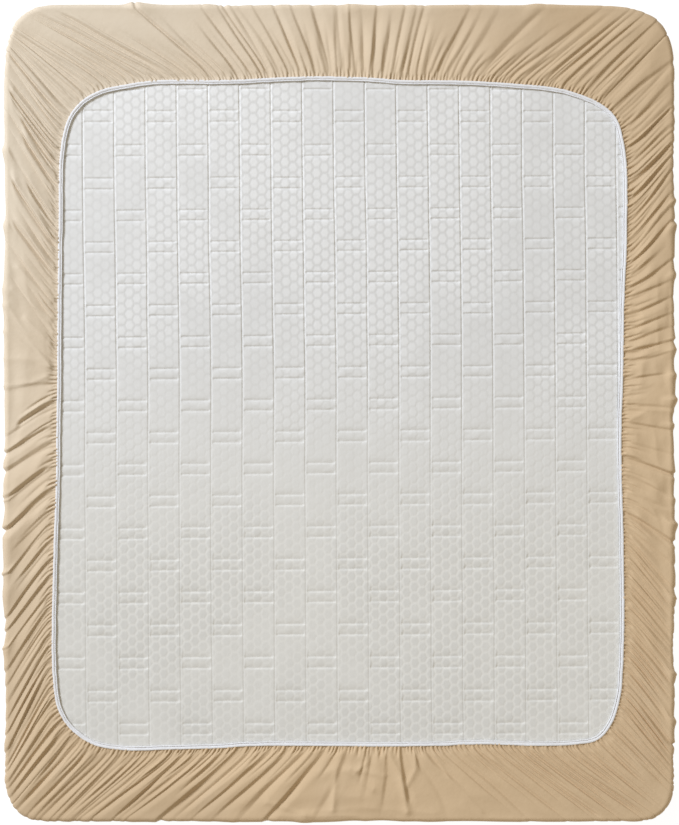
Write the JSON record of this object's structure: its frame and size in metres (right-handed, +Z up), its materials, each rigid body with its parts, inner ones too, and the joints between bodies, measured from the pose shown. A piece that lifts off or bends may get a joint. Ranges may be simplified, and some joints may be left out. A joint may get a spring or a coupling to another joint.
{
  "type": "mattress in a fitted sheet",
  "caption": "Queen-size pocket-spring mattress lying face down in a tan fitted sheet: the elastic hem is gathered round the edge of its quilted underside.",
  "frame": {"origin": "on the floor under the middle of the sheet's sleeping face", "axes": "+Z up, out of the mattress's underside; +Y towards the head end, along the length; +X to the right seen from above with the head end up"},
  "size_m": [1.63, 1.984, 0.2268],
  "materials": {
    "sheet_cloth": "soft tan cotton cloth",
    "hem_binding": "white cotton tape",
    "hem_elastic": "white knitted elastic",
    "quilt_ticking": "off-white jacquard with a slight sheen",
    "border_ticking": "off-white jacquard",
    "edge_tape": "ribbed woven tape",
    "polyester_wadding": "white fibre",
    "nonwoven_backing": "thin bonded fibre",
    "comfort_foam": "open-cell foam",
    "cotton_felt": "grey needled felt",
    "pocket_fabric": "white bonded fibre",
    "spring_steel": "drawn wire",
    "vent_plastic": "moulded",
    "handle_webbing": "woven webbing"
  },
  "bodies": {
    "sleeping_half": {"fitted_sheet": "sheet_cloth", "sheet_corner_seams": "sheet_cloth", "sleeping_ticking": "quilt_ticking", "sleeping_wadding": "polyester_wadding", "sleeping_backing": "nonwoven_backing", "sleeping_comfort_foam": "comfort_foam", "sleeping_felt_pad": "cotton_felt", "sleeping_edge_tape": "edge_tape", "sleeping_border_wire": "spring_steel", "sleeping_wire_clips": "spring_steel", "border_ticking": "border_ticking", "border_wadding": "polyester_wadding", "air_vents": "vent_plastic", "handle_left_foot": "handle_webbing", "handle_left_head": "handle_webbing", "handle_right_foot": "handle_webbing", "handle_right_head": "handle_webbing", "pocket_string_01": "pocket_fabric", "pocket_string_02": "pocket_fabric", "pocket_string_03": "pocket_fabric", "pocket_string_04": "pocket_fabric", "pocket_string_05": "pocket_fabric", "pocket_string_06": "pocket_fabric", "pocket_string_07": "pocket_fabric", "pocket_string_08": "pocket_fabric", "pocket_string_09": "pocket_fabric", "pocket_string_10": "pocket_fabric", "pocket_string_11": "pocket_fabric", "pocket_string_12": "pocket_fabric", "pocket_string_13": "pocket_fabric", "pocket_string_14": "pocket_fabric", "pocket_string_15": "pocket_fabric", "pocket_string_16": "pocket_fabric", "pocket_string_17": "pocket_fabric", "pocket_string_18": "pocket_fabric", "pocket_string_19": "pocket_fabric", "pocket_string_20": "pocket_fabric", "pocket_string_21": "pocket_fabric", "pocket_string_22": "pocket_fabric", "pocket_string_23": "pocket_fabric", "pocket_string_24": "pocket_fabric", "pocket_string_25": "pocket_fabric"},
    "underside_half": {"underside_felt_pad": "cotton_felt", "underside_comfort_foam": "comfort_foam", "underside_backing": "nonwoven_backing", "underside_wadding": "polyester_wadding", "underside_ticking": "quilt_ticking", "underside_edge_tape": "edge_tape", "underside_border_wire": "spring_steel", "underside_wire_clips": "spring_steel", "hem_binding": "hem_binding", "hem_elastic": "hem_elastic"}
  },
  "joints": [
    {"name": "core_compress", "type": "slide", "parent": "sleeping_half", "child": "underside_half", "axis": [0, 0, 1], "range_m": [-0.04, 0], "stiffness_N_per_m": 150000, "springref_m": 0.001, "deforming": ["fitted_sheet", "sheet_corner_seams", "border_ticking", "border_wadding", "air_vents", "handle_left_foot", "handle_left_head", "handle_right_foot", "handle_right_head", "pocket_string_01", "pocket_string_02", "pocket_string_03", "pocket_string_04", "pocket_string_05", "pocket_string_06", "pocket_string_07", "pocket_string_08", "pocket_string_09", "pocket_string_10", "pocket_string_11", "pocket_string_12", "pocket_string_13", "pocket_string_14", "pocket_string_15", "pocket_string_16", "pocket_string_17", "pocket_string_18", "pocket_string_19", "pocket_string_20", "pocket_string_21", "pocket_string_22", "pocket_string_23", "pocket_string_24", "pocket_string_25"]}
  ]
}
